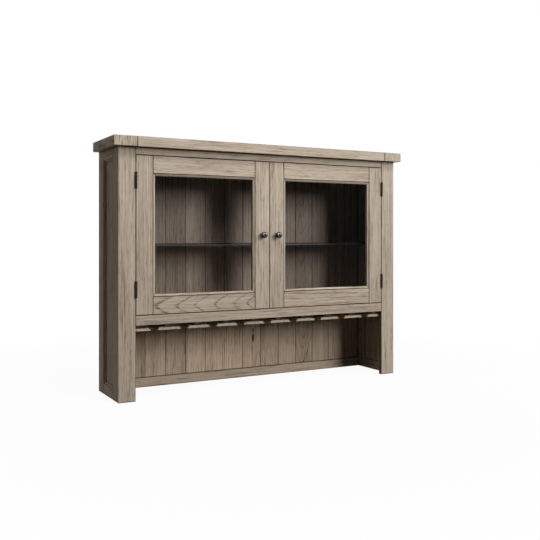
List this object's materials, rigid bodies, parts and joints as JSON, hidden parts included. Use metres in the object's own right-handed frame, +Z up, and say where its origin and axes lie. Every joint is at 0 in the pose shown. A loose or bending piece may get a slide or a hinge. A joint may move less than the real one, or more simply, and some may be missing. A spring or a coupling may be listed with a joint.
{
  "type": "display cabinet",
  "caption": "Dresser-top display cabinet with inset glazed doors, a glass shelf and a stemware rack above an open bay, made to stand on a sideboard.",
  "frame": {"origin": "middle of the bottom of the whole object's box, on the surface it stands on", "axes": "+X to the right along the width, +Y to the back, +Z up; the doors face -Y"},
  "size_m": [1.4, 0.309, 1.05],
  "materials": {
    "oak_frame": "grey-brown smoked oak, matt oiled",
    "oak_top": "grey-brown smoked oak, matt oiled",
    "oak_back": "grey-brown smoked oak boards, matt oiled",
    "oak_panel": "grey-brown smoked oak panel, matt oiled",
    "clear_glass": "polished clear",
    "pewter": "dark pewter, satin",
    "hinge_bronze": "dark antique",
    "zinc_steel": "zinc plated",
    "catch_plastic": "brown"
  },
  "bodies": {
    "carcass": {"back_boards": "oak_back", "back_bottom_rail": "oak_back", "back_top_rail": "oak_back", "cabinet_floor": "oak_frame", "door_catches": "catch_plastic", "floor_bearers": "oak_frame", "front_bottom_rail": "oak_frame", "front_post_left": "oak_frame", "front_post_right": "oak_frame", "front_top_rail": "oak_frame", "glass_shelf": "clear_glass", "hinge_pins": "hinge_bronze", "hinge_post_leaves": "hinge_bronze", "hinge_post_screws": "zinc_steel", "rack_slat_1": "oak_frame", "rack_slat_10": "oak_frame", "rack_slat_2": "oak_frame", "rack_slat_3": "oak_frame", "rack_slat_4": "oak_frame", "rack_slat_5": "oak_frame", "rack_slat_6": "oak_frame", "rack_slat_7": "oak_frame", "rack_slat_8": "oak_frame", "rack_slat_9": "oak_frame", "rack_webs": "oak_frame", "shelf_pins": "zinc_steel", "side_bottom_rail_left": "oak_frame", "side_bottom_rail_right": "oak_frame", "side_front_stile_left": "oak_frame", "side_front_stile_right": "oak_frame", "side_mouldings": "oak_frame", "side_panel_left": "oak_panel", "side_panel_right": "oak_panel", "side_rear_stile_left": "oak_frame", "side_rear_stile_right": "oak_frame", "side_top_rail_left": "oak_frame", "side_top_rail_right": "oak_frame", "top_board": "oak_top", "top_end_left": "oak_top", "top_end_right": "oak_top"},
    "door_left": {"left_door_beads": "oak_frame", "left_door_bottom_rail": "oak_frame", "left_door_hinge_leaves": "hinge_bronze", "left_door_hinge_stile": "oak_frame", "left_door_knob": "pewter", "left_door_meeting_stile": "oak_frame", "left_door_pane": "clear_glass", "left_door_screws": "zinc_steel", "left_door_strike": "zinc_steel", "left_door_top_rail": "oak_frame"},
    "door_right": {"right_door_beads": "oak_frame", "right_door_bottom_rail": "oak_frame", "right_door_hinge_leaves": "hinge_bronze", "right_door_hinge_stile": "oak_frame", "right_door_knob": "pewter", "right_door_meeting_stile": "oak_frame", "right_door_pane": "clear_glass", "right_door_screws": "zinc_steel", "right_door_strike": "zinc_steel", "right_door_top_rail": "oak_frame"}
  },
  "joints": [
    {"name": "left_door_swing", "type": "hinge", "parent": "carcass", "child": "door_left", "pos_m": [-0.604, -0.1248, 0.66], "axis": [0, 0, -1], "range_deg": [0, 170]},
    {"name": "right_door_swing", "type": "hinge", "parent": "carcass", "child": "door_right", "pos_m": [0.604, -0.1248, 0.66], "axis": [0, 0, 1], "range_deg": [0, 170]}
  ]
}
